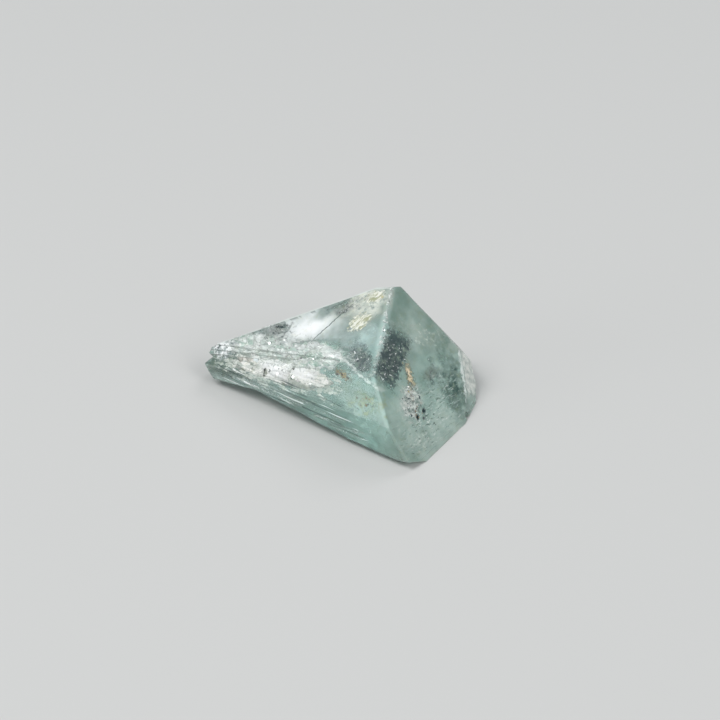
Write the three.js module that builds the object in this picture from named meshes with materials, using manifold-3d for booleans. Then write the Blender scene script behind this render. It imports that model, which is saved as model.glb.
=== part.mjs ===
// A loose phosphophyllite crystal, lying on its flattest side. Millimetres, +Z up, about 13.3 mm long.
// The crystal grew as one piece: flat growth faces, a striated front band, terraces along the upper edge,
// a broken left end and a dull right end. So it is one solid, cut from a block as a stone is faceted.

import * as THREE from "three";
import { mergeVertices } from "three/addons/utils/BufferGeometryUtils.js";
import Module from "manifold-3d";

// A face is given as a goniometer reads it: azimuth is counter-clockwise from +X and tilt is from +Z, both
// in degrees, for its outward normal, and distance is how far it lies from the middle of the resting side.
const FACES = {
  upperLeft: { azimuth: 213.5, tilt: 29.5, distance: 3.11 },
  upperRight: { azimuth: 327.5, tilt: 46.5, distance: 4.24 },
  lowerRight: { azimuth: 327, tilt: 50.5, distance: 4.17 },
  shoulder: { azimuth: 233, tilt: 64, distance: 2.19 },
  frontBand: { azimuth: 234, tilt: 86, distance: 1.74 },
  frontBevel: { azimuth: 234, tilt: 140, distance: 0.89 },
  frontCorner: { azimuth: 261, tilt: 152, distance: 1.44 },
  backLeft: { azimuth: 93, tilt: 77, distance: 4.1 },
  backRight: { azimuth: 25.5, tilt: 54, distance: 6.3 },
  crest: { azimuth: 95, tilt: 31, distance: 6.06 },
  dullEnd: { azimuth: 344, tilt: 62, distance: 5.35 },
  rightEnd: { azimuth: 18, tilt: 86, distance: 6.86 },
  rightTip: { azimuth: 357, tilt: 88, distance: 6.46 },
  rightCorner: { azimuth: 341, tilt: 65, distance: 5.33 },
  brokenEnd: { azimuth: 180, tilt: 84, distance: 6.84 },
  tipUnderside: { azimuth: 180, tilt: 125, distance: 4.97 },
  underside: { azimuth: 0, tilt: 180, distance: 0 },
};

// The two planes that meet in the shallow arch under the front edge. What lies beyond both is missing.
const ARCH = [
  { azimuth: 223, tilt: 155, distance: 0.32 },
  { azimuth: 255, tilt: 155, distance: -0.63 },
];

// The tip is broken into two prongs: a low pointed one and, above it, a short one that ends in a chip. What
// lies above the low prong's top, and also under the chip or past its end, is missing.
const PRONG_TOP = { azimuth: 143, tilt: 49, distance: 6.05 };
const CHIP_LIMITS = [
  { azimuth: 210, tilt: 125, distance: 2.53 },
  { azimuth: 169, tilt: 75, distance: 7.15 },
];

// Places on a face are [along, rise] in millimetres: along the level direction, counter-clockwise about +Z,
// and straight up the slope, from the foot of the face's normal.

// Terraces are where growth layers end. Below the line from one place to the other, a layer of the face, as
// thick as the drop, is missing.
const TERRACES = [
  { face: "upperLeft", from: [-7.6, -2.65], to: [0.25, 1.5], reach: 1.8, drop: 0.09 },
  { face: "upperLeft", from: [-7.6, -2.95], to: [-1.75, 0.2], reach: 1.8, drop: 0.18 },
  { face: "upperLeft", from: [-7.6, -3.2], to: [-3.7, -1.05], reach: 1.8, drop: 0.28 },
];

// Thin cleavage layers gone from the shoulder: shallow rectangles, turned in the face.
const LOST_LAYERS = [
  { at: [-4.66, 0.92], length: 1.6, width: 0.62, turn: 12, depth: 0.07 },
  { at: [-2.9, 1.24], length: 1.45, width: 0.66, turn: 10, depth: 0.09 },
  { at: [-0.95, 1.66], length: 2.2, width: 0.6, turn: 11, depth: 0.06 },
];

// Growth striations: long level V-grooves in the front band.
const STRIATIONS = [
  { at: [-3.3, 0.86], length: 4.2, width: 0.12 },
  { at: [-2.1, 1.2], length: 3.0, width: 0.08 },
  { at: [-2.9, 1.03], length: 3.6, width: 0.07 },
  { at: [0.9, 0.72], length: 2.6, width: 0.13 },
  { at: [1.6, 0.5], length: 2.4, width: 0.1 },
  { at: [0.3, 1.02], length: 2.2, width: 0.08 },
];

// Etch pits: small four-sided pits in the lower right face.
const ETCH_PITS = [
  { at: [0.7, -1.57], width: 0.34, depth: 0.12, turn: 20 },
  { at: [0.12, -1.58], width: 0.26, depth: 0.1, turn: 50 },
  { at: [0.42, -1.82], width: 0.18, depth: 0.08, turn: 5 },
  { at: [-0.05, -2.65], width: 0.15, depth: 0.06, turn: 35 },
];

// The scar is a small bite out of the edge where the lower right face meets the right corner.
const SCAR = { at: [3.05, -3.2], size: 0.3, turn: 28 };

// The block is much larger than the crystal, so that every face cuts right across it.
const BLOCK = 40;

const wasm = await Module();
wasm.setup();

// A closed geometry as a solid.
function solidOf(geometry) {
  const bare = geometry.clone();
  bare.deleteAttribute("normal");
  bare.deleteAttribute("uv");
  const merged = mergeVertices(bare, 1e-5);
  return new wasm.Manifold(
    new wasm.Mesh({
      numProp: 3,
      vertProperties: merged.attributes.position.array,
      triVerts: new Uint32Array(merged.index.array),
    }),
  );
}

// A solid as a geometry with flat faces.
function geometryOf(solid) {
  const mesh = solid.getMesh();
  const geometry = new THREE.BufferGeometry();
  geometry.setAttribute("position", new THREE.BufferAttribute(mesh.vertProperties, mesh.numProp));
  geometry.setIndex(new THREE.BufferAttribute(mesh.triVerts, 1));
  const flat = geometry.toNonIndexed();
  flat.computeVertexNormals();
  return flat;
}

// The frame of a face: X along it, Y up its slope and Z outward, from the foot of its normal.
function frameOf(face) {
  const azimuth = THREE.MathUtils.degToRad(face.azimuth);
  const tilt = THREE.MathUtils.degToRad(face.tilt);
  const along = new THREE.Vector3(-Math.sin(azimuth), Math.cos(azimuth), 0);
  const outward = new THREE.Vector3(
    Math.cos(azimuth) * Math.sin(tilt),
    Math.sin(azimuth) * Math.sin(tilt),
    Math.cos(tilt),
  );
  const rise = new THREE.Vector3().crossVectors(outward, along);
  return new THREE.Matrix4()
    .makeBasis(along, rise, outward)
    .setPosition(outward.clone().multiplyScalar(face.distance));
}

// Everything beyond a face, as far as the block reaches.
function beyond(face) {
  const slab = new THREE.BoxGeometry(BLOCK, BLOCK, BLOCK);
  slab.translate(0, 0, BLOCK / 2);
  return solidOf(slab.applyMatrix4(frameOf(face)));
}

// A geometry made about a face's own origin, turned in the face and set down on it.
function onFace(face, geometry, [along, rise], turn = 0) {
  geometry.rotateZ(THREE.MathUtils.degToRad(turn));
  geometry.translate(along, rise, 0);
  return solidOf(geometry.applyMatrix4(frameOf(face)));
}

function terraceCut({ face, from, to, reach, drop }) {
  const run = to[0] - from[0];
  const climb = to[1] - from[1];
  const length = Math.hypot(run, climb);
  const cut = new THREE.BoxGeometry(length, reach, 2 * drop);
  cut.translate(length / 2, -reach / 2, 0);
  const turn = THREE.MathUtils.radToDeg(Math.atan2(climb, run));
  return onFace(FACES[face], cut, from, turn);
}

function layerCut(layer) {
  const cut = new THREE.BoxGeometry(layer.length, layer.width, 2 * layer.depth);
  return onFace(FACES.shoulder, cut, layer.at, layer.turn);
}

// A square bar on edge, sunk by half its width, leaves a V-groove.
function striationCut(groove) {
  const side = groove.width / Math.SQRT2;
  const cut = new THREE.BoxGeometry(groove.length, side, side);
  cut.rotateX(Math.PI / 4);
  return onFace(FACES.frontBand, cut, groove.at);
}

// A four-sided cone with its point inward. It is sunk by half its height, so at the face it is half as wide
// as its base.
function pitCut(pit) {
  const cut = new THREE.ConeGeometry(pit.width, 2 * pit.depth, 4);
  cut.rotateX(-Math.PI / 2);
  return onFace(FACES.lowerRight, cut, pit.at, pit.turn);
}

function scarCut() {
  const cut = new THREE.BoxGeometry(SCAR.size, SCAR.size, SCAR.size);
  return onFace(FACES.lowerRight, cut, SCAR.at, SCAR.turn);
}

function crystalSolid() {
  let crystal = solidOf(new THREE.BoxGeometry(BLOCK, BLOCK, BLOCK));
  for (const face of Object.values(FACES)) crystal = crystal.subtract(beyond(face));
  const cuts = [
    beyond(ARCH[0]).intersect(beyond(ARCH[1])),
    ...CHIP_LIMITS.map((limit) => beyond(PRONG_TOP).intersect(beyond(limit))),
    ...TERRACES.map(terraceCut),
    ...LOST_LAYERS.map(layerCut),
    ...STRIATIONS.map(striationCut),
    ...ETCH_PITS.map(pitCut),
    scarCut(),
  ];
  for (const cut of cuts) crystal = crystal.subtract(cut);
  return crystal;
}

// The origin is the middle of the crystal's box, on the surface that it rests on.
function centred(geometry) {
  geometry.computeBoundingBox();
  const middle = geometry.boundingBox.getCenter(new THREE.Vector3());
  return geometry.translate(-middle.x, -middle.y, -geometry.boundingBox.min.z);
}

const paleBlueGreen = new THREE.MeshStandardMaterial({
  color: 0xa9c9bd,
  roughness: 0.2,
  metalness: 0,
});

const crystal = new THREE.Mesh(centred(geometryOf(crystalSolid())), paleBlueGreen);
crystal.name = "crystal";

const phosphophyllite = new THREE.Group();
phosphophyllite.add(crystal);

export default phosphophyllite;
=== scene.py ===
# %% [markdown]
# # A phosphophyllite crystal
# The real thing is one loose crystal, pale blue-green and see-through, that tapers from a thick end to a
# broken tip. It grew as one piece, so the packed model holds one node. What a person sees on it and in it
# is made here: growth relief, worn edges, cleavage plates, healed cracks, smoky veils and a few
# iron-stained grains.

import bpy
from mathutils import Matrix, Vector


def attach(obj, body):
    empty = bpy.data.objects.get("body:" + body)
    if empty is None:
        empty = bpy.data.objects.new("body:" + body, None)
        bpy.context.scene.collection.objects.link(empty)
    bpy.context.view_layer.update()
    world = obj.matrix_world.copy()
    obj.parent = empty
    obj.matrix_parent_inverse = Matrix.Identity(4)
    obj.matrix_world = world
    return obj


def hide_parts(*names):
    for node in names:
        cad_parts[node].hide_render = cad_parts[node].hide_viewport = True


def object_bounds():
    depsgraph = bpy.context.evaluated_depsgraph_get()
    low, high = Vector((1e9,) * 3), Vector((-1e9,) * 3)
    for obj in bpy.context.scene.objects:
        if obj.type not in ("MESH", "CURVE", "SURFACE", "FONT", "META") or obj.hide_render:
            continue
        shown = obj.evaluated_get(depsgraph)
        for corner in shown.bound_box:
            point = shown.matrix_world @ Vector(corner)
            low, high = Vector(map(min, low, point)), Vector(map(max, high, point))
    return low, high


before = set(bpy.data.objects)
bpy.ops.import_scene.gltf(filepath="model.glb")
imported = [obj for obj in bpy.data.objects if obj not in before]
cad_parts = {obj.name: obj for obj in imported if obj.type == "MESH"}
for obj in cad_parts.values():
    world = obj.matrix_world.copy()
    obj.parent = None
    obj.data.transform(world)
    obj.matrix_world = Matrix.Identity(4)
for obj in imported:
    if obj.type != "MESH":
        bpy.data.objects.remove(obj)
print("the packed model holds", len(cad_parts), "node")

# %% Measure it
import math

import bpy
from mathutils import Matrix, Vector

MM = 0.001
low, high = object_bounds()
size = high - low
crystal_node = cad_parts["crystal"]
print("the crystal measures", [round(side / MM, 2) for side in size], "mm")

# %% [markdown]
# A crystal is described by its faces. Each is read as on a goniometer: the azimuth of its outward normal,
# counter-clockwise from +X, and its tilt from +Z. The distances needn't be typed, because they can be
# measured on the packed solid.

# %% Name the growth faces
GROWTH_FACES = {
    "upper_left": (213.5, 29.5),
    "upper_right": (327.5, 46.5),
    "lower_right": (327, 50.5),
    "shoulder": (233, 64),
    "front_band": (234, 86),
    "front_bevel": (234, 140),
    "front_corner": (261, 152),
    "back_left": (93, 77),
    "back_right": (25.5, 54),
    "crest": (95, 31),
    "dull_end": (344, 62),
    "right_end": (18, 86),
    "right_tip": (357, 88),
    "right_corner": (341, 65),
    "broken_end": (180, 84),
    "tip_underside": (180, 125),
    "underside": (0, 180),
}
MARK_ORIGIN = Vector((0.088, -0.051, 0)) * MM
corners = [vertex.co.copy() for vertex in crystal_node.data.vertices]


def outward(face):
    azimuth, tilt = (math.radians(angle) for angle in GROWTH_FACES[face])
    level = math.sin(tilt)
    return Vector((math.cos(azimuth) * level, math.sin(azimuth) * level, math.cos(tilt)))


def reach(face):
    """How far the face's plane lies from the part's origin, in metres."""
    return max(outward(face).dot(corner) for corner in corners)


print(len(GROWTH_FACES), "flat faces bound the stone")

# %% [markdown]
# Marks are placed on a face in millimetres, along it and up its slope, as one would measure them on the
# stone with a ruler. A mark placed so stays where it is from every side.


# %% Place things on a face
def face_frame(face, along=0.0, rise=0.0, depth=0.0, turn=0.0):
    """X runs along the face, Y up its slope and Z outward, from a place given in millimetres."""
    normal = outward(face)
    azimuth = math.radians(GROWTH_FACES[face][0])
    level = Vector((-math.sin(azimuth), math.cos(azimuth), 0))
    axes = Matrix((level, normal.cross(level), normal)).transposed().to_4x4()
    foot = Matrix.Translation(MARK_ORIGIN + normal * (reach(face) - normal.dot(MARK_ORIGIN))) @ axes
    inside = Matrix.Translation(Vector((along, rise, -depth)) * MM)
    return foot @ inside @ Matrix.Rotation(math.radians(turn), 4, "Z")


for face in GROWTH_FACES:
    print(face, "lies", round((reach(face) - outward(face).dot(MARK_ORIGIN)) / MM, 2), "mm out")

# %% [markdown]
# Node trees get hard to read as soon as they hold real maths. This small class wraps a socket, so that
# adding or multiplying two fields leaves the Math node behind. The same class serves materials and Geometry
# Nodes.


# %% Write node maths as Python
class Field:
    def __init__(self, socket):
        self.socket = socket

    def node(self, kind, settings=None, output=0, **values):
        """A new node in the same tree. A value named _2 goes to the third socket, any other to its name's."""
        made = self.socket.id_data.nodes.new(kind)
        for name, value in (settings or {}).items():
            setattr(made, name, value)
        for name, value in values.items():
            socket = made.inputs[int(name[1:]) if name[0] == "_" else name.replace("_", " ")]
            if isinstance(value, Field):
                self.socket.id_data.links.new(value.socket, socket)
            else:
                socket.default_value = value
        return Field(made.outputs[output])

    def math(self, operation, one, two=0.0):
        return self.node("ShaderNodeMath", {"operation": operation}, _0=one, _1=two)

    def __add__(self, other):
        return self.math("ADD", self, other)

    def __sub__(self, other):
        return self.math("SUBTRACT", self, other)

    def __rsub__(self, other):
        return self.math("SUBTRACT", other, self)

    def __mul__(self, other):
        return self.math("MULTIPLY", self, other)

    def __neg__(self):
        return self * -1

    __radd__ = __add__
    __rmul__ = __mul__

    def most(self, other):
        return self.math("MAXIMUM", self, other)

    def between(self, start, end):
        """A smooth step from 0 at start to 1 at end."""
        return self.node("ShaderNodeMapRange", {"interpolation_type": "SMOOTHSTEP"},
                         Value=self, From_Min=start, From_Max=end)

    def vector(self, operation, other=(0, 0, 0), scale=1.0):
        output = 1 if operation in ("DOT_PRODUCT", "LENGTH") else 0
        return self.node("ShaderNodeVectorMath", {"operation": operation}, output,
                         _0=self, _1=other, _3=scale)

    def noise(self, scale, detail=2.0, roughness=0.5, distortion=0.0, output=0):
        return self.node("ShaderNodeTexNoise", {}, output, Vector=self, Scale=scale, Detail=detail,
                         Roughness=roughness, Distortion=distortion)

    def cells(self, scale, feature="F1", output=0):
        return self.node("ShaderNodeTexVoronoi", {"feature": feature}, output, Vector=self, Scale=scale)

    def mixed(self, zero, one):
        """The colour zero where this is 0 and the colour one where this is 1."""
        return self.node("ShaderNodeMix", {"data_type": "RGBA"}, 2, _0=self, _6=zero, _7=one)


print("a field can", [name for name in vars(Field) if not name.startswith("_")])

# %% [markdown]
# The finishes need the same places as the pieces do. A Mapping node does in a material what Vector Rotate
# does in Geometry Nodes, and either way the middle of the mark becomes 0 and its rim 1.


# %% Find a place on a face, in either kind of tree
def seen_from(place, frame_on_face, reach_x, reach_y, reach_z):
    """Coordinates about a place on a face, so that the given reaches in millimetres come out as 1."""
    centre = frame_on_face.translation / MM
    turn = frame_on_face.to_euler()
    scale = (reach_x, reach_y, reach_z)
    if place.socket.id_data.bl_idname == "ShaderNodeTree":
        return place.node("ShaderNodeMapping", {"vector_type": "TEXTURE"}, Vector=place, Location=centre,
                          Rotation=turn, Scale=scale)
    offset = place.vector("SUBTRACT", centre)
    turned = offset.node("ShaderNodeVectorRotate", {"rotation_type": "EULER_XYZ", "invert": True},
                         Vector=offset, Rotation=turn)
    return turned.vector("DIVIDE", scale)


def in_face(place, face, along, rise, turn, pitch_x, pitch_y, depth=1.0):
    """Coordinates about a place in a face, along a turned direction, in pitches given in millimetres."""
    return seen_from(place, face_frame(face, along, rise, 0, turn), pitch_x, pitch_y, depth)


def patch(place, face, along, rise, half_length, half_width, turn=0.0, soft=0.35, depth=0.5):
    """1 inside an oval patch of a face and 0 outside it."""
    around = in_face(place, face, along, rise, turn, half_length, half_width, depth)
    return around.vector("LENGTH").between(1 + soft, 1 - soft)


middle = face_frame("upper_left").translation / MM
print("the widest face is measured from", [round(side, 2) for side in middle], "mm")

# %% [markdown]
# The camera stands about 12 cm away and looks down at 35 degrees, with a long lens, as for a macro picture.

# %% Set up the camera
CAMERA_PLACE = Vector((0.966, -93.769, 68.829)) * MM
AIM = Vector((0.966, 4.530, 0.0)) * MM
camera_data = bpy.data.cameras.new("camera")
camera_data.lens = 120
camera_data.sensor_width = 36
camera_data.clip_start = 1 * MM
camera_data.clip_end = 10
camera = bpy.data.objects.new("camera", camera_data)
bpy.context.scene.collection.objects.link(camera)
camera.location = CAMERA_PLACE
camera.rotation_euler = (AIM - CAMERA_PLACE).to_track_quat("-Z", "Y").to_euler()
bpy.context.scene.camera = camera
print("the camera is", round((AIM - CAMERA_PLACE).length / MM), "mm away")

# %% [markdown]
# The stone lies on a sheet of pale card. A clear stone shows what is under and around it, so the card and
# the softboxes do half of the work of a finish.

# %% Lay the floor
bpy.ops.object.select_all(action="DESELECT")
bpy.ops.mesh.primitive_plane_add(size=0.8, location=(0, 0, -0.02 * MM))
floor = bpy.context.object
floor.name = "floor"
bpy.ops.object.transform_apply(location=True)
card = bpy.data.materials.new("pale_card")
card.use_nodes = True
card_shader = card.node_tree.nodes["Principled BSDF"]
card_shader.inputs["Base Color"].default_value = (0.60, 0.60, 0.59, 1)
card_shader.inputs["Roughness"].default_value = 0.7
floor.data.materials.append(card)
print("the floor is", round(floor.dimensions.x / MM), "mm wide")

# %% [markdown]
# Soft boxes of light suit a shiny stone, because their reflections are broad and calm. A clear stone also
# gathers light from behind, so one box stands at the back. None sits where the widest face would mirror it
# to the camera, or that face would turn grey.

# %% Light it
world = bpy.data.worlds.new("studio")
bpy.context.scene.world = world
world.use_nodes = True
world.node_tree.nodes["Background"].inputs["Color"].default_value = (0.80, 0.86, 0.90, 1)
world.node_tree.nodes["Background"].inputs["Strength"].default_value = 0.30


def softbox(name, direction, distance, side, radiance):
    """A square softbox in a direction from the crystal. Watts follow from how bright its face has to look."""
    lamp = bpy.data.lights.new(name, "AREA")
    lamp.shape = "SQUARE"
    lamp.size = side
    lamp.energy = radiance * math.pi * side**2
    box = bpy.data.objects.new(name, lamp)
    bpy.context.scene.collection.objects.link(box)
    box.location = Vector(direction).normalized() * distance
    box.rotation_euler = (-box.location).to_track_quat("-Z", "Y").to_euler()
    box.visible_camera = False
    print(name, "gives", round(lamp.energy, 3), "W")


softbox("key_softbox", (-0.50, -0.10, 0.86), 0.32, 0.18, 6.0)
softbox("back_softbox", (0.37, 0.63, 0.69), 0.30, 0.14, 2.5)
softbox("left_softbox", (-0.88, -0.38, 0.24), 0.30, 0.12, 2.5)
softbox("right_softbox", (0.60, -0.48, 0.64), 0.32, 0.18, 3.6)
bpy.context.scene.view_settings.view_transform = "Standard"
print("the view transform is", bpy.context.scene.view_settings.view_transform)

# %% [markdown]
# The body is a copy of the packed solid. Its faces have to stay true, because a clear stone shows every
# dent twice, so they aren't remeshed. Instead the copy is sliced by three sets of parallel planes, which
# gives each face a fine grid of its own and leaves every edge where it was.

# %% Copy the solid
SAME_POINT = 0.0005 * MM
SAME_FACE = math.radians(0.5)
bpy.ops.object.select_all(action="DESELECT")
body = bpy.data.objects.new("crystal_body", crystal_node.data.copy())
bpy.context.scene.collection.objects.link(body)
body.data.materials.clear()
body.select_set(True)
bpy.context.view_layer.objects.active = body
print("the copy starts with", len(body.data.polygons), "triangles")
bpy.ops.object.mode_set(mode="EDIT")
bpy.ops.mesh.select_all(action="SELECT")
bpy.ops.mesh.remove_doubles(threshold=SAME_POINT)
bpy.ops.mesh.dissolve_limited(angle_limit=SAME_FACE)

# %% Slice it into a fine grid
GRID = 0.065 * MM
FIRST_CUT = 0.37
ON_THE_CUT = 0.0001 * MM
SLIVER = 0.006 * MM
for axis in range(3):
    across = Vector((axis == 0, axis == 1, axis == 2))
    for cut in range(int(size[axis] / GRID) + 1):
        bpy.ops.mesh.select_all(action="SELECT")
        bpy.ops.mesh.bisect(plane_co=across * (low[axis] + (cut + FIRST_CUT) * GRID), plane_no=across,
                            threshold=ON_THE_CUT)
bpy.ops.mesh.select_all(action="SELECT")
bpy.ops.mesh.remove_doubles(threshold=SLIVER)
bpy.ops.object.mode_set(mode="OBJECT")
print("the body has", len(body.data.polygons), "faces")

# %% [markdown]
# Growth leaves relief on every face: broad hillocks, fine striations, blocky steps where layers end and
# pits where fluid has etched it. One Geometry Nodes modifier adds it all as a height along the normal. Each
# pattern is masked to its face by comparing normals, and at an edge the mask falls to nothing, so the edges
# stay crisp.


# %% Start the relief
def new_shaper(name, inputs):
    """A Geometry Nodes tree, the fields of its inputs and the identifiers that a modifier sets them by."""
    tree = bpy.data.node_groups.new(name, "GeometryNodeTree")
    tree.interface.new_socket("Geometry", in_out="INPUT", socket_type="NodeSocketGeometry")
    sockets = {key: tree.interface.new_socket(key, in_out="INPUT", socket_type="NodeSocket" + kind).identifier
               for key, kind in inputs.items()}
    tree.interface.new_socket("Geometry", in_out="OUTPUT", socket_type="NodeSocketGeometry")
    source = tree.nodes.new("NodeGroupInput")
    fields = {socket.name: Field(socket) for socket in source.outputs if socket.name}
    return fields, sockets


def shape(piece, geometry, sockets=None, **values):
    """Ends the tree at a geometry, and applies it to a piece as a modifier with the given input values."""
    tree = geometry.socket.id_data
    if not any(node.bl_idname == "NodeGroupOutput" for node in tree.nodes):
        tree.links.new(geometry.socket, tree.nodes.new("NodeGroupOutput").inputs[0])
    modifier = piece.modifiers.new(tree.name, "NODES")
    modifier.node_group = tree
    for name, value in values.items():
        modifier[sockets[name]] = value
    bpy.ops.object.modifier_apply(modifier=modifier.name)


relief, _ = new_shaper("growth_relief", {})
flat_body = relief["Geometry"]
normal = flat_body.node("GeometryNodeInputNormal")
spot = flat_body.node("GeometryNodeInputPosition").vector("SCALE", scale=1 / MM)


def facing(face):
    """1 on the face and 0 on its neighbours."""
    return normal.vector("DOT_PRODUCT", outward(face)).between(0.95, 0.99)


# %% [markdown]
# Each kind of relief is a noise of its own. A noise stretched along a face draws striations, and one that
# is snapped to levels draws steps. Sculpting by hand could do the same, but not at the true scale on every
# face.

# %% Add up the heights, in millimetres
hillocks = (spot.noise(0.7, 1.0) - 0.5) * 0.06
grain = (spot.noise(3.0, 2.0) - 0.5) * 0.012
fine_streaks = (in_face(spot, "lower_right", 0, 0, -5, 1.3, 0.16).noise(1.0, 2.0) - 0.5) * 0.05
band_lines = (in_face(spot, "front_band", 0, 0, 0, 3.0, 0.09).noise(1.0, 2.0) - 0.5) * 0.07
shoulder_lines = (in_face(spot, "shoulder", 0, 0, 8, 2.0, 0.2).noise(1.0, 1.0) - 0.5) * 0.04
layers = in_face(spot, "upper_left", 0, 0, 28, 0.9, 0.30).noise(1.0, 2.0, 0.6, 0.6)
steps = (layers.math("SNAP", layers, 0.11) - 0.5) * 0.6
back_layers = in_face(spot, "back_left", 0, 0, 8, 2.4, 0.55).noise(1.0, 2.0, 0.5, 0.4)
back_steps = (back_layers.math("SNAP", back_layers, 0.09) - 0.5) * 0.05
back_lines = (in_face(spot, "back_left", 0, 0, 8, 3.0, 0.12).noise(1.0, 1.0) - 0.5) * 0.04
crackled = patch(spot, "upper_left", -2.9, 0.0, 3.2, 0.75, 27)
hollow = patch(spot, "upper_left", -4.35, 0.5, 0.75, 0.3, 35)
conchoidal = (spot.noise(1.6, 3.0) - 0.5) * 0.20
tip = spot.vector("DOT_PRODUCT", (-1, 0, 0)).between(5.9, 6.5)
dull = (spot.noise(5.0, 2.0) - 0.5) * 0.06
pitting = -(spot.noise(2.5, 3.0).between(0.4, 0.7)) * 0.03
etched_floor = (spot.noise(4.0, 3.0) - 0.5) * 0.20
etched = patch(spot, "lower_right", 0.2, -0.7, 0.9, 0.6, 20)
height = (
    hillocks * (1 - facing("underside"))
    + grain
    + (facing("lower_right").most(facing("upper_right"))) * fine_streaks
    + facing("front_band") * band_lines
    + facing("shoulder") * shoulder_lines
    + facing("upper_left") * crackled * steps
    + facing("upper_left") * hollow * (steps - 0.06)
    + tip * conchoidal
    + facing("dull_end") * dull
    + etched * etched_floor
    + facing("back_left").most(facing("back_right")) * (back_steps + back_lines)
    + facing("underside") * pitting
)
print("the heights take", len(height.socket.id_data.nodes), "nodes")

# %% [markdown]
# Real edges are never knife-sharp. The angle between neighbouring faces finds them, a blur widens them, and
# the height there drops by a few hundredths of a millimetre, more where the edge has chipped.

# %% Wear the edges and apply the relief
sharpness = flat_body.node("GeometryNodeInputMeshEdgeAngle")
worn = sharpness.node("GeometryNodeBlurAttribute", {}, 0, Value=sharpness.between(0.15, 0.5), Iterations=1)
chips = spot.noise(2.2, 3.0).between(0.5, 0.7) * 0.018 + 0.008
relieved = flat_body.node("GeometryNodeSetPosition", {}, 0, Geometry=flat_body,
                          Offset=normal.vector("SCALE", scale=(height - worn * chips) * MM))
marked = relieved.node("GeometryNodeStoreNamedAttribute", {"data_type": "FLOAT", "domain": "POINT"}, 0,
                       Geometry=relieved, Name="edge_wear", Value=worn)
shape(body, marked)
bpy.ops.object.shade_smooth_by_angle(angle=math.radians(22))
print("after the relief it has", len(body.data.polygons), "faces")

# %% [markdown]
# The stone is clear glass to look at, but not clean glass. Its skin is a mix of a transmitting shader, with
# the mineral's own index of refraction, and a milky one that stands for the finest cracks. Where the milk
# lies, and what colour it has, is worked out from the place on the stone: haze, wear along the edges,
# frosting on the dull end, crackle, a few iron stains, and painted highlights and painted shade. The
# blue-green comes from absorption, so thick parts are deeper in colour.


# %% Start a material
def new_material(name):
    """A bare material, with places in millimetres and the piece's own coordinates."""
    material = bpy.data.materials.new(name)
    material.use_nodes = True
    material.node_tree.nodes.clear()
    coordinates = material.node_tree.nodes.new("ShaderNodeTexCoord")
    return material, Field(coordinates.outputs["Object"]).vector("SCALE", scale=1 / MM)


def finish_material(material, surface, volume=None):
    tree = material.node_tree
    output = tree.nodes.new("ShaderNodeOutputMaterial")
    tree.links.new(surface.socket, output.inputs["Surface"])
    if volume:
        tree.links.new(volume.socket, output.inputs["Volume"])


# %% [markdown]
# Nothing on a stone has a clean outline. If a mark is looked up at a place that has wandered off by a
# noise, its outline wanders too. A coarse noise drifts, a fine one frays.

# %% Let the places wander
crystal_material, place = new_material("clear_crystal")
MID_NOISE = (0.5, 0.5, 0.5)


def wandering(scale, detail, amount):
    """The places, each moved by a noise through up to half of the given amount in millimetres."""
    shove = place.noise(scale, detail, output=1).vector("SUBTRACT", MID_NOISE)
    return place.vector("ADD", shove.vector("SCALE", scale=amount))


wander = wandering(2.5, 3.0, 2.6)
fray = wandering(7.0, 3.0, 0.9)
shiver = wandering(4.0, 2.0, 0.25)
drift = wandering(0.8, 2.0, 1.6)
place_jitter = wandering(6.0, 2.0, 0.12)
edge_wear = place.node("ShaderNodeAttribute", {"attribute_name": "edge_wear"}, 2)


def tell(step):
    print(step, "bring the material to", len(crystal_material.node_tree.nodes), "nodes")


tell("the wandering places")

# %% [markdown]
# A face's own mask comes from how deep a point lies under the face's plane, so it needs no texture. Two
# such depths together find an edge. A product of masks keeps what they share, and the larger of two joins
# them.


# %% Mask by face and edge
def under(face):
    """How many millimetres a point lies under a face's plane."""
    return reach(face) / MM - place.vector("DOT_PRODUCT", outward(face))


def skin(face):
    return under(face).between(0.3, 0.1)


def edge_between(one, other, width):
    """1 along the edge between two faces, frayed and broken up."""
    frayed = under(one) + under(other) + (place.noise(5.0, 3.0) - 0.5) * width * 3
    return frayed.between(width, width * 0.3)


def panel(where, face, along, rise, half_length, half_width, turn, soft):
    """1 inside a four-sided patch of a face, half a millimetre deep, and 0 outside it."""
    apart = in_face(where, face, along, rise, turn, half_length, half_width, 0.5).vector("ABSOLUTE")
    sides = [apart.vector("DOT_PRODUCT", [i == axis for i in range(3)]) for axis in range(3)]
    return sides[0].most(sides[1]).most(sides[2]).between(1 + soft, 1 - soft)


# %% [markdown]
# Damage has texture inside its outline: torn rims, the flat shards of a shattered layer, small specks and
# fine concentric cracks. Each of these helpers makes one of them out of a noise or of Voronoi cells. The dark
# specks are real, and the white ones are painted glints.


# %% Mask by texture
def torn(mask, grainy, amount, soft=0.15):
    """A soft mask with the ragged outline that a fine noise gives it."""
    return (mask + (grainy - 0.5) * amount).between(0.5 - soft, 0.5 + soft)


def shards(around):
    """The edges, tone and tilt of the cells of a shattered layer, from coordinates in pitches of one cell."""
    draw = around.cells(1.0, output=1)
    arm = around.vector("SUBTRACT", around.cells(1.0, output=2))
    tilt = arm.vector("DOT_PRODUCT", draw.vector("SUBTRACT", MID_NOISE))
    return around.cells(1.0, "DISTANCE_TO_EDGE"), draw.vector("DOT_PRODUCT", (1, 0, 0)), tilt


def glints_and_specks(scale, start, end):
    """Small irregular spots where a fine noise passes from start to end."""
    return place.noise(scale, 3.0, 0.6).between(start, end)


def contours(field, count, width):
    """Thin lines where a field passes each of so many even levels."""
    return field.math("PINGPONG", field * count, 1.0).between(width, 0.0)
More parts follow.
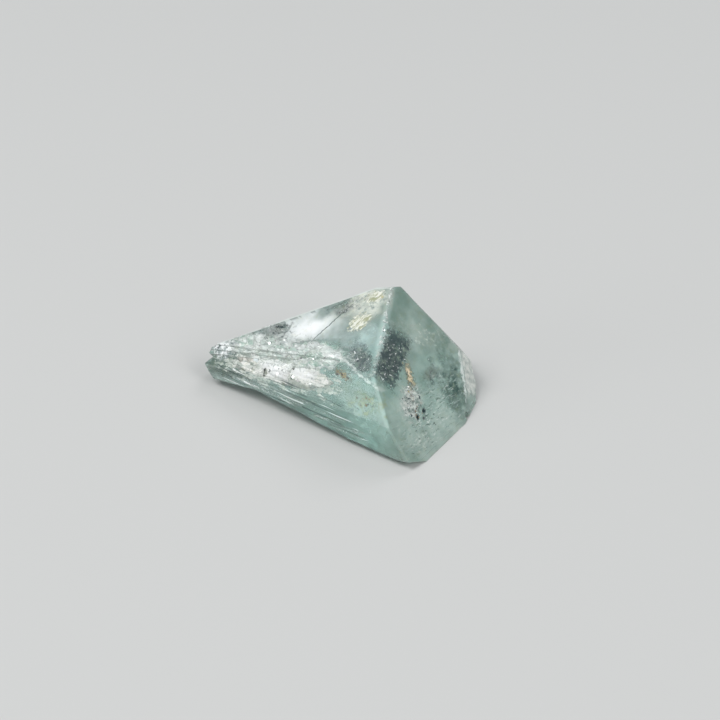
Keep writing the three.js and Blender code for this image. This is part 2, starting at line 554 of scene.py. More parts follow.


# %% [markdown]
# The widest face is the one that draws the eye. It holds a bright white haze, a cream one near the top and a
# thin painted highlight along its top rim. Its haze has no grain, so only a slow drift shapes it.

# %% Lay the haze
upper_left_skin = skin("upper_left")
right_skin = skin("upper_right").most(skin("lower_right"))
front_band_skin = skin("front_band") * patch(wander, "front_band", -2.2, 0.3, 5.0, 2.5, 0, 0.15, 1.5)
cloud = place.noise(0.5, 2.0).between(0.3, 0.7)
tatter = wander.noise(1.6, 3.0, 0.55)
crumble = place.noise(3.5, 4.0, 0.65)
bright_haze = patch(drift, "upper_left", -2.75, 1.8, 1.9, 0.95, 35, 0.9)
bright_haze = bright_haze * tatter.between(-0.1, 0.35) * upper_left_skin
cream_haze = patch(drift, "upper_left", -1.5, 4.5, 1.5, 1.1, 55, 0.9) * crumble.between(0.1, 0.55)
cream_haze = cream_haze * upper_left_skin.most(skin("crest"))
# The rim is a painted highlight: a thin white line along the top edge of the widest face.
behind_rim = place.math("MINIMUM", under("back_left"), under("crest"))
painted_rim_highlight = (under("upper_left") + behind_rim).between(0.11, 0.05)
broad_haze = patch(drift, "upper_left", -0.5, 2.5, 2.6, 1.5, 40, 0.9)
broad_haze = broad_haze * (tatter * 0.6 + cloud * 0.6).between(0.2, 0.9)
tell("the hazes")

# %% [markdown]
# The ridge in the middle is bruised, the dull end is frosted, and the tip has lost a chip. The lower part
# of the widest face is crackled all over. These have grain, so a crumbly noise breaks them up.

# %% Wear the ridge, the ends and the tip
ridge_band = (edge_between("upper_left", "upper_right", 0.16)
              .most(edge_between("upper_left", "lower_right", 0.16)))
ridge = ridge_band * crumble.between(0.42, 0.58) * tatter.between(0.35, 0.6)
brow = (patch(shiver, "shoulder", 2.1, 2.68, 1.15, 0.09, -12, 0.6)
        .most(patch(shiver, "upper_left", 0.75, 1.62, 0.75, 0.08, 3, 0.6, 0.2))
        .most(edge_between("upper_left", "shoulder", 0.08) * 0.35)) * crumble.between(0.3, 0.5)
frosting = torn(skin("dull_end") * under("lower_right").between(-0.03, 0.10)
                * patch(shiver, "dull_end", 3.3, -1.0, 1.5, 1.2, 78, 0.3, 1.0), crumble, 0.5, 0.4)
dull_border = edge_between("lower_right", "dull_end", 0.05) * crumble.between(0.30, 0.45)
chip = patch(fray, "upper_left", -5.85, -1.85, 0.62, 0.45, 25, 0.4, 1.0)
prong = patch(wander, "shoulder", -6.3, 0.5, 0.75, 0.8, 0, 0.4, 1.0)
shattered = patch(shiver, "upper_left", -2.7, 0.1, 3.7, 0.95, 27, 0.5)
crackle = torn(shattered, tatter, 0.8, 0.35) * under("upper_left").between(0.45, 0.3)
crackle = crackle * (1 - bright_haze * 0.6)
tell("the worn places")

# %% [markdown]
# Smoke is dark patches just under the surface, and the one low on the right is painted shade. The right faces
# also have an etched patch, an end darkened by painted shade, a paler end, and dust low down.

# %% Lay the smoke, the painted shade and the clouds
etching = torn(patch(fray, "lower_right", 0.3, -0.85, 0.95, 0.62, 35, 0.8), crumble, 1.2, 0.3)
smoke = (torn(panel(fray, "upper_right", 0.85, 1.1, 1.5, 0.68, 23, 0.4), crumble, 0.6, 0.4)
         .most(patch(fray, "upper_left", 1.0, 2.15, 0.95, 0.55, -20, 0.5) * upper_left_skin * 0.9)
         .most(patch(wander, "upper_left", -4.2, 0.6, 0.75, 0.28, 35, 0.6) * upper_left_skin)
         .most(patch(wander, "upper_left", -2.25, 3.7, 0.9, 0.32, 55, 0.9) * upper_left_skin * 0.6)
         # The last patch, low on the lower right face, is painted shade.
         .most(patch(wander, "lower_right", 2.5, -0.45, 0.6, 0.3, 0, 0.9) * 0.6))
# Painted shade at the right end of the lower right face.
painted_shade_end = patch(wander, "lower_right", 3.45, -1.7, 1.4, 0.75, 64, 0.8)
pale_clouds = (patch(wander, "upper_right", 3.4, 0.9, 2.0, 0.35, -40, 0.9)
               .most(patch(wander, "lower_right", -0.4, -2.7, 0.6, 0.4, 0, 0.9))) * tatter.between(0.35, 0.6)
scales = torn(patch(fray, "upper_left", -0.7, 3.53, 0.65, 0.42, 80, 0.7)
              .most(patch(fray, "upper_left", -1.25, 4.95, 0.55, 0.3, 60, 0.7)), crumble, 1.0, 0.3)
scales = scales * upper_left_skin
low_dust = patch(wander, "lower_right", 0.9, -2.1, 2.3, 1.1, 10, 0.8)
tell("the smoke and the clouds")

# %% [markdown]
# Phosphophyllite cleaves well, so the shoulder is full of thin plates that have begun to part. They look like
# mica: pale and streaked along the cleavage, with a painted highlight on the brightest ones.

# %% Lay the cleavage plates
plate_grain = in_face(shiver, "shoulder", 0, 0, 8, 1.1, 0.10, 5.0).noise(1.0, 4.0, 0.6)
cross_grain = in_face(shiver, "shoulder", 0, 0, 80, 0.6, 0.09, 5.0).noise(1.0, 3.0, 0.6)
cleavage_zone = patch(wander, "shoulder", -2.7, 1.3, 3.6, 0.75, 8, 0.6, 1.0)
cleavage = torn(cleavage_zone, plate_grain, 2.2)
plates = torn(panel(shiver, "shoulder", -4.7, 1.12, 1.1, 0.42, 8, 0.5) * 0.85, plate_grain, 1.6)
plates = plates.most(torn(panel(shiver, "shoulder", -2.83, 1.28, 0.68, 0.46, 8, 0.3), plate_grain, 0.8))
plates = plates.most(torn(patch(shiver, "shoulder", -1.05, 1.68, 1.15, 0.42, 9, 0.3), plate_grain, 0.8))
terrace_plate = patch(shiver, "upper_left", -2.75, -0.78, 0.85, 0.3, 27, 0.4, 0.6)
plates = plates.most(torn(terrace_plate, plate_grain, 0.8))
lamella_edge, lamella_tone, lamella_tilt = shards(in_face(shiver, "shoulder", 0, 0, 8, 1.1, 0.17, 2.0))
plate_streaks = plate_grain.between(0.32, 0.50) * (0.5 + 0.5 * cross_grain.between(0.38, 0.50))
plate_streaks = plate_streaks * (0.6 + 0.4 * lamella_tone.between(0.1, 0.6))
plate_streaks = plate_streaks * lamella_edge.between(-0.02, 0.05)
# A painted highlight: white on the two brightest plates and on the terrace plate.
painted_gleam = (panel(shiver, "shoulder", -2.95, 1.33, 0.65, 0.42, 8, 0.5)
         .most(patch(shiver, "shoulder", -1.45, 1.72, 0.65, 0.26, 8, 0.7)).most(terrace_plate))
plate_streaks = plate_streaks.most(painted_gleam * plate_grain.between(0.25, 0.42))
tell("the cleavage plates")

# %% [markdown]
# Lines come last, because they cross everything else: the cracks of the crackled zone, one long hairline, the
# dark stripes of the front band and its white stripes, which are painted highlights, scratches, rust in two
# places and the painted shade of the etch pits.

# %% Draw the cracks, lines and stains
growth = in_face(shiver, "upper_left", 0, 0, 28, 1.4, 0.45).noise(1.0, 2.0, 0.5, 0.8)
shard_edge, shard_tone, shard_tilt = shards(in_face(shiver, "upper_left", 0, 0, 20, 0.62, 0.26, 2.0))
cracked = crackle * tatter.between(0.38, 0.5)
white_cracks = (contours(growth, 8, 0.28) * crackle).most(shard_edge.between(0.20, 0.10) * cracked * 0.6)
dark_cracks = ((contours(growth + 0.06, 8, 0.15) * crackle * 0.7)
               .most(shard_edge.between(0.07, 0.03) * cracked))
hairline = patch(place_jitter, "upper_left", -1.96, 2.5, 1.45, 0.027, 88.5, 0.7)
hairline = hairline * place.noise(4.0, 2.0).between(0.25, 0.35)
stripes = in_face(place, "front_band", 0, 0, 0, 3.4, 0.15, 5.0).noise(1.0, 2.0)
striated = front_band_skin.most(skin("back_left") * 0.6)
# The white ribs and stripes of the front band are painted highlights, where its striations would catch the
# light.
highlight_ribs = (patch(place_jitter, "front_band", -4.74, 0.84, 0.65, 0.03, -4, 0.8)
        .most(patch(place_jitter, "front_band", -2.06, 0.75, 0.45, 0.03, -6, 0.8)))
painted_highlight_stripes = (stripes.between(0.61, 0.67) * striated).most(highlight_ribs)
dark_stripes = stripes.between(0.45, 0.39) * striated
scale_grain = in_face(shiver, "upper_left", 0, 0, 88, 0.45, 0.10, 2.0).noise(1.0, 3.0, 0.6)
scale_shade = scale_grain.between(0.40, 0.56)
low_streaks = in_face(shiver, "lower_right", 0, 0, -6, 0.45, 0.09, 2.0).noise(1.0, 2.0, 0.6)
low_scratches = low_streaks.between(0.56, 0.63) * low_dust
low_grooves = low_streaks.between(0.40, 0.35) * low_dust
iron_stain = (patch(fray, "shoulder", 0.75, 2.45, 0.5, 0.16, -10, 0.7, 0.4)
              .most(patch(fray, "lower_right", 1.18, 0.2, 0.62, 0.20, 68, 0.5))
              .most(patch(fray, "lower_right", 0.62, -0.45, 0.35, 0.06, 60, 0.6)))
iron_core = patch(fray, "lower_right", 1.2, 0.22, 0.42, 0.10, 68, 0.5)
olive_stain = torn(patch(wander, "shoulder", 2.35, 1.72, 0.85, 0.45, 0, 0.95), crumble, 2.0, 0.6)
# Painted shade in the etch pits.
pit_shade = (patch(shiver, "lower_right", 0.7, -1.57, 0.22, 0.10, 50, 0.5)
             .most(patch(shiver, "lower_right", 0.12, -1.58, 0.15, 0.08, 50, 0.5))
             .most(patch(shiver, "lower_right", 0.42, -1.82, 0.08, 0.08, 5, 0.5)))
dusty = (smoke.most(crackle * 0.15).most(etching).most(ridge_band * 0.6)
         .most(low_dust * 0.5).most(plates * 0.3))
# White specks that stand in for glints: painted highlights.
painted_glints = glints_and_specks(9.0, 0.60, 0.66) * tatter.between(0.4, 0.6) * dusty.between(0.2, 0.6)
darkened = dusty.between(0.4, 0.8).most(iron_stain * (1 - iron_core)).most(chip * 0.8)
dark_specks = glints_and_specks(6.5, 0.42, 0.37) * darkened
scuffs = edge_wear * (1 - edge_between("shoulder", "lower_right", 0.5))
tell("the cracks, lines and stains")

# %% [markdown]
# All the masks now meet in two numbers. Milk says how much of the surface is cloudy rather than clear, and
# the milk's colour says how that cloud looks. The largest milk wins at each place, while the colours are
# laid one over another, so their order matters.

# %% Work out how milky each place is
milk = cloud * 0.14 + 0.24 + upper_left_skin * 0.08 + right_skin * 0.18
for mask, amount in (
    (front_band_skin, 0.42), (broad_haze, 0.6), (bright_haze, 0.97), (cream_haze, 0.85), (crackle, 0.8),
    (white_cracks, 0.95), (dark_cracks, 0.85), (painted_highlight_stripes, 0.8), (dark_stripes, 0.7), (etching, 0.7),
    (smoke, 0.85), (painted_shade_end, 0.85), (pale_clouds, 0.7), (prong, 0.7), (hairline, 0.85), (cleavage, 0.6),
    (plates, 0.92), (scales, 0.85), (iron_stain, 0.85), (olive_stain, 0.45), (low_scratches, 0.7),
    (low_grooves, 0.6), (frosting, 0.92), (chip, 0.95), (ridge, 0.8), (brow, 0.6), (dull_border, 0.7),
    (painted_rim_highlight, 0.7), (scuffs, 0.3), (pit_shade, 0.95),
    (painted_glints, 1.0), (dark_specks, 1.0),
):
    milk = milk.most(mask * amount)
tell("the amounts of milk")

# %% Work out what colour the milk is
BLACK_TEAL = (0.012, 0.035, 0.04, 1)
SHADE_TEAL = (0.035, 0.085, 0.07, 1)
# Pale lines: wear on the ridge and edges, pale cracks and scratches, and the painted rim highlight.
pale_lines_and_rim_highlight = (ridge.most(brow).most(dull_border).most(painted_rim_highlight).most(white_cracks)
              .most(low_scratches).most(scuffs * 0.4))
PALE_AQUA = (0.50, 0.68, 0.63, 1)
COOL_WHITE = (0.98, 1.0, 1.0, 1)
WARM_WHITE = (0.98, 0.98, 0.94, 1)
patchy = cloud * 0.5 + place.noise(1.3, 3.0).between(0.35, 0.65) * 0.5
milk_colour = patchy.mixed((0.38, 0.52, 0.45, 1), (0.68, 0.82, 0.75, 1))
for mask, colour in (
    (front_band_skin * 0.85, (0.13, 0.21, 0.175, 1)),
    (upper_left_skin, PALE_AQUA),
    (prong, (0.13, 0.19, 0.16, 1)),
    (painted_shade_end, SHADE_TEAL),
    (pale_clouds * 0.7, (0.80, 0.88, 0.80, 1)),
    (broad_haze, (0.66, 0.88, 0.85, 1)),
    (bright_haze.most(painted_highlight_stripes), COOL_WHITE),
    (crackle * 0.95, shard_tone.between(0.15, 0.75).mixed((0.33, 0.52, 0.42, 1), COOL_WHITE)),
    (cream_haze, (0.95, 0.96, 0.86, 1)),
    (cleavage, plate_streaks.mixed((0.30, 0.38, 0.31, 1), (0.86, 0.89, 0.82, 1))),
    (plates, plate_streaks.mixed((0.40, 0.46, 0.41, 1), WARM_WHITE)),
    (painted_gleam * plates * 0.9, COOL_WHITE),
    (scales, scale_shade.mixed((0.45, 0.47, 0.30, 1), (1.0, 1.0, 0.90, 1))),
    (smoke * 0.97, crumble.between(0.45, 0.75).mixed(BLACK_TEAL, (0.13, 0.22, 0.22, 1))),
    (dark_cracks.most(dark_stripes).most(hairline).most(low_grooves), (0.05, 0.09, 0.08, 1)),
    (olive_stain * 0.7, (0.50, 0.52, 0.25, 1)),
    (frosting, crumble.between(0.30, 0.65).mixed((0.42, 0.48, 0.45, 1), (0.78, 0.80, 0.75, 1))),
    (chip, crumble.between(0.38, 0.55).mixed((0.30, 0.36, 0.36, 1), COOL_WHITE)),
    (etching, crumble.between(0.38, 0.58).mixed((0.22, 0.27, 0.24, 1), (0.88, 0.90, 0.85, 1))),
    (pale_lines_and_rim_highlight, (0.90, 0.95, 0.91, 1)),
    (iron_stain, crumble.between(0.45, 0.55).mixed((0.13, 0.09, 0.03, 1), (0.42, 0.34, 0.15, 1))),
    (iron_core, (0.95, 0.80, 0.58, 1)),
    (dark_specks.most(pit_shade), BLACK_TEAL),
    (painted_glints, COOL_WHITE),
):
    milk_colour = mask.mixed(milk_colour, colour)
tell("the colours of the milk")

# %% [markdown]
# The clear part needs only physics: full transmission, an index of refraction of 1.61 and absorption
# inside, which makes thick parts a deeper blue-green. The mix's factor is the milk. One bump serves both
# shaders, so that shards and plates catch the light as facets.

# %% Mix the crystal's material
CRYSTAL_IOR = 1.61
fine = place.noise(9.0, 3.0)
hidden = skin("underside")
for face in ("back_left", "back_right", "front_bevel", "front_corner", "tip_underside", "right_end"):
    hidden = hidden.most(skin(face) * 0.5)
crumbs = place.cells(13.0) * frosting.most(chip).most(etching).most(ridge).most(smoke)
terraces = growth.math("SNAP", growth, 0.11) * 12
bump = place.node("ShaderNodeBump", {}, 0, Strength=0.5, Distance=0.03 * MM,
                  Height=fine + crumbs * 2 + cleavage_zone * (plate_grain + lamella_tilt * 4)
                  + shattered * (terraces + shard_tilt * 6))
glass = place.node("ShaderNodeBsdfPrincipled", {}, 0, Base_Color=(0.97, 1, 0.99, 1), IOR=CRYSTAL_IOR,
                   Transmission_Weight=1.0, Roughness=(fine * 0.10 + 0.02).most(hidden * 0.35), Normal=bump)
frosted = place.node("ShaderNodeBsdfPrincipled", {}, 0, Base_Color=milk_colour, IOR=CRYSTAL_IOR,
                     Roughness=frosting * 0.3 + 0.3 - crackle.most(plates) * 0.17, Normal=bump)
depth_colour = place.node("ShaderNodeVolumeAbsorption", {}, 0, Color=(0.22, 0.72, 0.64, 1), Density=160.0)
finish_material(crystal_material, place.node("ShaderNodeMixShader", {}, 0, _0=milk, _1=glass, _2=frosted),
                depth_colour)
body.data.materials.append(crystal_material)
print(crystal_material.name, "takes", len(crystal_material.node_tree.nodes), "nodes")

# %% [markdown]
# The body rides on the packed model's only body and stands for its only node, which stays behind for
# collision.

# %% Tie the body to the frame
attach(body, "root")
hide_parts("crystal")
print(body.name, "stands for the packed node")

# %% [markdown]
# Much of what catches the eye is inside: plates of air where the stone has begun to cleave, healed cracks,
# smoky veils and small flakes. Each is a thin sheet a fraction of a millimetre under a face. It starts as a
# square grid. Geometry Nodes pull the square into a ragged oval, lump it and keep two attributes for its
# finish: rim, which is 0 in the middle and 1 at the outline, and flat, its own level coordinates in
# millimetres.

# %% Pull a square into a ragged oval
ragged_inputs, RAGGED_SOCKETS = new_shaper(
    "ragged_sheet",
    {"Length": "Float", "Width": "Float", "Ragged": "Float", "Lump": "Float", "Seed": "Float"})
square = ragged_inputs["Geometry"]
square_place = square.node("GeometryNodeInputPosition")
bearing = square_place.vector("NORMALIZE")
apart = square_place.vector("ABSOLUTE")
rim_value = apart.vector("DOT_PRODUCT", (1, 0, 0)).most(apart.vector("DOT_PRODUCT", (0, 1, 0)))
own_seed = square.node("ShaderNodeCombineXYZ", {}, 0, Z=ragged_inputs["Seed"] * 7.3)
bites = bearing.vector("SCALE", scale=1.3).vector("ADD", own_seed).noise(1.0, 5.0, 0.7)
outline = 1 - bites * ragged_inputs["Ragged"]
reaches = square.node("ShaderNodeCombineXYZ", {}, 0, X=ragged_inputs["Length"], Y=ragged_inputs["Width"])
oval = bearing.vector("SCALE", scale=rim_value * outline * 0.5).vector("MULTIPLY", reaches)
lump_height = (oval.vector("ADD", own_seed).noise(1.8, 2.0) - 0.5) * ragged_inputs["Lump"]
lumped = oval.vector("ADD", square.node("ShaderNodeCombineXYZ", {}, 0, Z=lump_height))
pulled = square.node("GeometryNodeSetPosition", {}, 0, Geometry=square,
                     Position=lumped.vector("SCALE", scale=MM))
for name, kind, value in (("rim", "FLOAT", rim_value), ("flat", "FLOAT_VECTOR", lumped)):
    pulled = pulled.node("GeometryNodeStoreNamedAttribute", {"data_type": kind, "domain": "POINT"}, 0,
                         Geometry=pulled, Name=name, Value=value)
print("the ragged oval takes", len(pulled.socket.id_data.nodes), "nodes")

# %% [markdown]
# A sheet that is wider than the face over it would stick out into the air. A Shrinkwrap modifier in its
# Inside mode is meant to pull in the points that lie outside the body, or too near its surface. It doesn't
# catch every one: on this stone it leaves some points of seven sheets outside.


# %% Keep a sheet inside
def keep_inside(piece, margin):
    """Pulls most of what sticks out back in, to a margin in millimetres under the body's surface."""
    hold = piece.modifiers.new("hold_inside", "SHRINKWRAP")
    hold.wrap_mode = "INSIDE"
    hold.target = body
    hold.offset = margin * MM
    bpy.ops.object.modifier_apply(modifier=hold.name)


# %% Make, thicken and seal one sheet
WALL_MM = 0.012
COVER_MM = 0.04


def ragged_sheet(name, face, along, rise, depth, length, width, turn=0.0, tilt=0.0, ragged=0.6, lump=0.12,
                 seed=0, cells=(44, 30)):
    """A ragged sheet under a face. Its place and sizes are in millimetres, and its turns in degrees."""
    bpy.ops.object.select_all(action="DESELECT")
    bpy.ops.mesh.primitive_grid_add(x_subdivisions=cells[0], y_subdivisions=cells[1], size=2)
    piece = bpy.context.object
    piece.name = name
    shape(piece, pulled, RAGGED_SOCKETS, Length=length, Width=width, Ragged=ragged, Lump=lump,
          Seed=float(seed))
    tipped = Matrix.Rotation(math.radians(tilt), 4, "X")
    piece.matrix_world = face_frame(face, along, rise, depth, turn) @ tipped
    bpy.ops.object.transform_apply(location=True, rotation=True, scale=True)
    keep_inside(piece, max(0.0, min(depth, COVER_MM)))
    return piece


def thicken(piece):
    wall = piece.modifiers.new("wall", "SOLIDIFY")
    wall.thickness = WALL_MM * MM
    bpy.ops.object.modifier_apply(modifier=wall.name)
    bpy.ops.object.shade_smooth_by_angle(angle=math.radians(40))


def seal_in(piece, finish):
    piece.data.materials.clear()
    piece.data.materials.append(finish)
    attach(piece, "root")


# %% [markdown]
# A crack full of air turns light back like a mirror, so the plates are part metallic, with fine streaks
# along them. They fade out through alpha, ragged at the rim. Smoke, haze and scales are duller, and so is the
# sheet of painted shade.


# %% Mix the sheets' finishes
def sheet_finish(name, dark, pale, metallic, roughness, cover, fade=0.3, stretch=(1.0, 1.0), scale=2.5,
                 rim_line=0.0):
    """A streaked or mottled finish. Cover is 0 for a full sheet and 1 for none. Fade is the rim's width."""
    material, inside = new_material(name)
    flat = inside.node("ShaderNodeAttribute", {"attribute_name": "flat"}, 1)
    rim = inside.node("ShaderNodeAttribute", {"attribute_name": "rim"}, 2)
    mottle = inside.noise(2.2, 4.0, 0.7)
    streak = flat.vector("MULTIPLY", (1 / stretch[0], 1 / stretch[1], 1)).noise(scale, 4.0, 0.65)
    edge = rim + (mottle - 0.5) * 1.2
    alpha = edge.between(0.8, 0.8 - fade) * (mottle * 0.5 + streak * 0.5).between(cover - 0.12, cover + 0.12)
    colour = streak.between(0.35, 0.65).mixed(dark, pale)
    colour = (edge.between(0.6, 0.7) * rim_line).mixed(colour, (0.05, 0.06, 0.06, 1))
    bump = inside.node("ShaderNodeBump", {}, 0, Strength=0.7, Distance=0.03 * MM,
                       Height=streak + mottle * 0.5)
    shader = inside.node("ShaderNodeBsdfPrincipled", {}, 0, Base_Color=colour, Metallic=metallic,
                         Roughness=roughness, Alpha=alpha, Normal=bump)
    finish_material(material, shader)
    return material


plate_finish = sheet_finish("cleavage_plate", (0.45, 0.46, 0.40, 1), (1.0, 0.98, 0.95, 1), 0.35, 0.35, 0.44,
                            0.3, (4.0, 0.30), 1.6, 0.6)
haze_finish = sheet_finish("haze", (0.75, 0.85, 0.85, 1), (0.97, 1.0, 1.0, 1), 0.0, 0.6, 0.42, 0.7)
smoke_and_shade_finish = sheet_finish("smoke", (0.015, 0.03, 0.035, 1), (0.12, 0.17, 0.18, 1), 0.0, 0.3, 0.47, 1.0)
crack_finish = sheet_finish("healed_crack", (0.01, 0.02, 0.02, 1), (0.10, 0.13, 0.12, 1), 0.2, 0.2, 0.20, 0.1)
print("the sheets have", [finish.name for finish in (plate_finish, haze_finish, smoke_and_shade_finish, crack_finish)])

# %% [markdown]
# Each row places one sheet: the face it lies under, the place along and up that face, how deep it lies, its
# length and width, and its turns. The plates lie under the shoulder, and veils run through the thick end.

# %% Seal the sheets in
SHEETS = {
    "cleavage_plate_1": (plate_finish, "veil", "shoulder", -4.85, 0.92, 0.10, 2.3, 0.95, 8),
    "cleavage_plate_2": (plate_finish, "veil", "shoulder", -2.85, 1.25, 0.12, 1.5, 0.95, 8),
    "cleavage_plate_3": (plate_finish, "veil", "shoulder", -0.7, 1.72, 0.10, 3.0, 0.8, 9),
    "cleavage_wash": (haze_finish, "veil", "shoulder", -2.6, 1.25, 0.28, 7.0, 1.5, 8),
    "healed_crack_1": (crack_finish, "smoke", "shoulder", -3.56, 0.98, 0.05, 0.26, 0.9, -8),
    "healed_crack_2": (crack_finish, "smoke", "shoulder", -2.12, 1.6, 0.05, 0.30, 0.75, -8),
    "feather_1": (haze_finish, "veil", "upper_right", 2.6, 0.6, 1.2, 3.2, 1.8, 20, 35),
    "feather_2": (haze_finish, "veil", "upper_left", -0.5, 2.0, 1.4, 4.0, 1.6, 60, -40),
    "feather_3": (haze_finish, "veil", "back_left", -1.2, 1.6, 0.9, 2.6, 1.4, 30, 20),
    "feather_4": (haze_finish, "veil", "back_left", 1.5, 0.6, 0.8, 3.4, 1.2, 10, 15),
    "bright_haze": (haze_finish, "veil", "upper_left", -2.75, 1.75, 0.3, 3.2, 1.5, 35),
    "broad_haze": (haze_finish, "veil", "upper_left", -0.2, 3.0, 0.6, 3.4, 2.2, 40),
    "smoky_veil": (smoke_and_shade_finish, "smoke", "upper_right", 0.6, 1.1, 0.25, 3.2, 1.7, 27),
    "dark_triangle": (smoke_and_shade_finish, "smoke", "upper_left", 1.3, 2.2, 0.2, 1.9, 1.1, -20),
    "dark_hollow": (smoke_and_shade_finish, "smoke", "upper_left", -4.3, 0.55, 0.07, 1.5, 0.55, 35),
    "smoky_patch": (smoke_and_shade_finish, "smoke", "upper_left", -2.1, 3.6, 0.2, 1.9, 0.7, 50),
    # right_shadow is a dark sheet where there is only shade: painted shade.
    "right_shadow": (smoke_and_shade_finish, "smoke", "lower_right", 2.6, -0.45, 0.35, 1.4, 0.9, 0),
}
for index, (name, (finish, slot, *where)) in enumerate(SHEETS.items()):
    piece = ragged_sheet(name, *where, seed=index)
    thicken(piece)
    seal_in(piece, finish)
print("sealed in", len(SHEETS), "sheets")

# %% [markdown]
# The sparkle comes from hundreds of tiny plates and grains. One grain is modelled. Geometry Nodes scatter
# it over a ragged sheet, thinner towards the rim, turn and size each copy at random from a seed, and make
# them real.

# %% Scatter grains over a sheet
scatter_inputs, SCATTER_SOCKETS = new_shaper(
    "scattered_grains", {"Grain": "Object", "Density": "Float", "Smallest": "Float", "Largest": "Float",
                         "Tumble": "Float", "Spread": "Float", "Seed": "Int"})
carrier = scatter_inputs["Geometry"]
scatter_seed = scatter_inputs["Seed"]
rim_of_carrier = carrier.node("GeometryNodeInputNamedAttribute", {"data_type": "FLOAT"}, 0, Name="rim")
thinning = rim_of_carrier.between(1.0, 0.2)
points = carrier.node("GeometryNodeDistributePointsOnFaces", {"distribute_method": "RANDOM"}, 0, Mesh=carrier,
                      Density=scatter_inputs["Density"] * thinning, Seed=scatter_seed)


def chance(low_value, high_value, seed, vector=False):
    kind, first, output = ("FLOAT_VECTOR", 0, 0) if vector else ("FLOAT", 2, 1)
    return carrier.node("FunctionNodeRandomValue", {"data_type": kind}, output, Seed=seed,
                        **{f"_{first}": low_value, f"_{first + 1}": high_value})


tumble = scatter_inputs["Tumble"]
most_turned = carrier.node("ShaderNodeCombineXYZ", {}, 0, X=tumble, Y=tumble, Z=math.pi)
tumbled = chance(most_turned.vector("SCALE", scale=-1.0), most_turned, scatter_seed + 1, vector=True)
lying = Field(points.socket.node.outputs["Rotation"])
turned = lying.node("FunctionNodeRotateRotation", {"rotation_space": "LOCAL"}, 0, Rotation=lying,
                    Rotate_By=tumbled)
across_sheet = Field(points.socket.node.outputs["Normal"])
spread = chance(-1.0, 1.0, scatter_seed + 2) * scatter_inputs["Spread"] * MM
lifted = points.node("GeometryNodeSetPosition", {}, 0, Geometry=points,
                     Offset=across_sheet.vector("SCALE", scale=spread))
luck = chance(0.0, 1.0, scatter_seed + 3)
smallest_grain = scatter_inputs["Smallest"]
grain_size = smallest_grain + (scatter_inputs["Largest"] - smallest_grain) * luck * luck
one_grain = carrier.node("GeometryNodeObjectInfo", {}, 4, Object=scatter_inputs["Grain"])
copies = lifted.node("GeometryNodeInstanceOnPoints", {}, 0, Points=lifted, Instance=one_grain,
                     Rotation=turned, Scale=grain_size)
real_grains = copies.node("GeometryNodeRealizeInstances", {}, 0, Geometry=copies)
print("the scatter takes", len(real_grains.socket.id_data.nodes), "nodes")

# %% [markdown]
# Mica-like flakes are thin and six-sided, and iron grains are lumps. At this size a handful of faces is
# enough, because what matters is that each one has flat sides at its own angle.

# %% Model the two kinds of grain, a millimetre across
bpy.ops.mesh.primitive_cylinder_add(vertices=6, radius=0.5 * MM, depth=0.12 * MM)
flake = bpy.context.object
flake.name = "flake"
bpy.ops.mesh.primitive_ico_sphere_add(subdivisions=1, radius=0.5 * MM)
grain_lump = bpy.context.object
grain_lump.name = "grain_lump"
print("a flake has", len(flake.data.polygons), "faces and a lump", len(grain_lump.data.polygons))


# %% [markdown]
# Grains of one cluster aren't alike. Each takes its colour from the cell of space that it lies in, so one
# finish serves them all.


# %% Mix the grains' finishes
def grain_finish(name, dark, pale, share, metallic, roughness):
    """Each grain takes the dark or the pale colour by where it lies. Share is how many are dark."""
    material, inside = new_material(name)
    draw = inside.cells(6.0, output=1).vector("DOT_PRODUCT", (1, 0, 0))
    colour = draw.between(share - 0.05, share + 0.05).mixed(dark, pale)
    colour = (inside.noise(30.0, 1.0) * 0.5).mixed(colour, (0.5, 0.5, 0.48, 1))
    finish_material(material, inside.node("ShaderNodeBsdfPrincipled", {}, 0, Base_Color=colour,
                                          Metallic=metallic, Roughness=roughness))
    return material


sparkle_finish = grain_finish("sparkle", (0.45, 0.52, 0.50, 1), (1.0, 1.0, 0.97, 1), 0.3, 0.7, 0.2)
smoky_and_shade_grain_finish = grain_finish("smoky_and_shade_grain", (0.01, 0.02, 0.025, 1), (0.75, 0.85, 0.85, 1), 0.72, 0.3,
                                  0.2)
scale_finish = grain_finish("scaly_flake", (0.70, 0.66, 0.38, 1), (0.98, 0.96, 0.82, 1), 0.35, 0.2, 0.3)
dark_grain_finish = grain_finish("dark_grain", (0.012, 0.010, 0.008, 1), (0.22, 0.14, 0.05, 1), 0.6, 0.0, 0.5)
iron_finish = grain_finish("iron_crust", (0.28, 0.14, 0.05, 1), (0.78, 0.66, 0.48, 1), 0.45, 0.0, 0.6)
grain_finishes = (sparkle_finish, smoky_and_shade_grain_finish, scale_finish, dark_grain_finish, iron_finish)
print("the grains have", [finish.name for finish in grain_finishes])

# %% [markdown]
# The clusters lie just under the skin, where they still catch the light, or on it where the stain is a
# crust. Their density is low where single specks show, and high where they merge into a scaly patch.

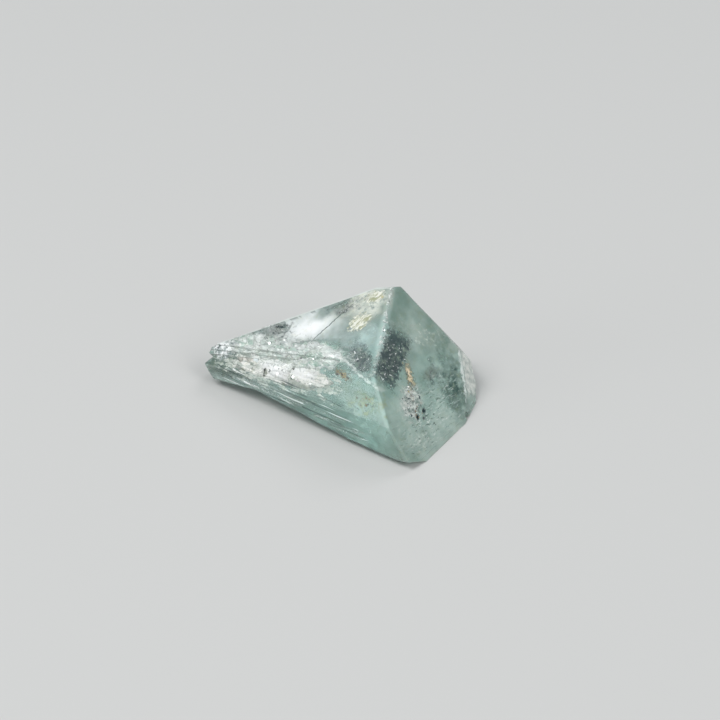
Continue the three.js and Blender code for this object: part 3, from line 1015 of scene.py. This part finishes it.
# %% Scatter every cluster
PER_MM2 = 1 / MM**2
CLUSTERS = {
    # name: finish, slot, grain, grains per mm2, smallest, largest, tumble, spread, place on the face
    "smoky_flecks": (smoky_and_shade_grain_finish, "smoke", flake, 60, 0.02, 0.08, 90, 0.20,
                     ("upper_right", 0.8, 1.15, 0.2, 3.2, 1.7, 27)),
    "triangle_flecks": (smoky_and_shade_grain_finish, "smoke", flake, 120, 0.02, 0.10, 90, 0.10,
                        ("upper_left", 1.3, 2.2, 0.15, 1.9, 1.1, -20)),
    "hollow_flecks": (smoky_and_shade_grain_finish, "smoke", flake, 150, 0.02, 0.12, 90, 0.05,
                      ("upper_left", -4.3, 0.55, 0.08, 1.4, 0.5, 35)),
    # shadow_flecks are dark flecks in the same place: painted shade, with a few pale ones.
    "shadow_flecks": (smoky_and_shade_grain_finish, "smoke", flake, 80, 0.02, 0.10, 90, 0.15,
                      ("lower_right", 2.5, -0.45, 0.25, 1.4, 0.8, 0)),
    "scaly_flakes_1": (scale_finish, "veil", flake, 60, 0.03, 0.16, 22, 0.04,
                       ("upper_left", -0.67, 3.53, 0.02, 1.2, 0.8, 30)),
    "scaly_flakes_2": (scale_finish, "veil", flake, 60, 0.03, 0.16, 22, 0.04,
                       ("upper_left", -1.25, 4.95, 0.02, 1.3, 0.6, 30)),
    "crackle_flakes": (sparkle_finish, "veil", flake, 26, 0.03, 0.14, 45, 0.02,
                       ("upper_left", -2.3, 0.45, 0.02, 6.8, 1.7, 27)),
    "ridge_flakes": (sparkle_finish, "veil", flake, 120, 0.02, 0.10, 90, 0.04,
                     ("upper_left", 0.93, 3.78, 0.02, 4.6, 0.25, -51)),
    "etched_flakes": (sparkle_finish, "veil", flake, 110, 0.03, 0.16, 70, 0.03,
                      ("lower_right", 0.35, -0.5, 0.02, 1.5, 1.0, 20)),
    "low_sparkles": (sparkle_finish, "veil", flake, 24, 0.02, 0.09, 90, 0.02,
                     ("lower_right", 0.4, -2.2, 0.02, 2.8, 1.4, -10)),
    "plate_flakes": (sparkle_finish, "veil", flake, 16, 0.04, 0.20, 14, 0.01,
                     ("shoulder", -2.7, 1.3, 0.01, 5.6, 0.9, 8)),
    "tip_flakes": (sparkle_finish, "veil", flake, 40, 0.03, 0.12, 90, 0.04,
                   ("upper_left", -5.3, -1.2, 0.04, 1.6, 0.8, 30)),
    "stain_grains": (dark_grain_finish, "iron_stain", grain_lump, 110, 0.04, 0.13, 180, 0.01,
                     ("shoulder", 0.75, 2.42, -0.03, 1.2, 0.45, -8)),
    "olive_grains": (dark_grain_finish, "iron_stain", grain_lump, 22, 0.04, 0.12, 180, 0.01,
                     ("shoulder", 2.3, 1.72, -0.03, 1.5, 0.9, 0)),
    "pit_grains": (dark_grain_finish, "iron_stain", grain_lump, 20, 0.02, 0.12, 180, 0.03,
                   ("lower_right", 0.5, -1.4, -0.03, 1.7, 1.0, 0)),
    "iron_crust": (iron_finish, "iron_stain", grain_lump, 260, 0.03, 0.12, 180, 0.02,
                   ("lower_right", 1.15, 0.2, 0.03, 1.35, 0.45, 68)),
}
FIRST_CLUSTER_SEED = 50
for index, (name, row) in enumerate(CLUSTERS.items()):
    finish, slot, grain_kind, density, smallest, largest, tumble_angle, spread_depth, where = row
    piece = ragged_sheet(name, *where, seed=FIRST_CLUSTER_SEED + index, cells=(24, 16))
    shape(piece, real_grains, SCATTER_SOCKETS, Grain=grain_kind, Density=density * PER_MM2, Smallest=smallest,
          Largest=largest, Tumble=math.radians(tumble_angle), Spread=spread_depth, Seed=index * 10)
    seal_in(piece, finish)
    print(name, "has", len(piece.data.polygons), "faces")
for pattern in (flake, grain_lump):
    bpy.data.objects.remove(pattern)

# %% [markdown]
# Relief and grains may stand proud of the packed solid by a hair.
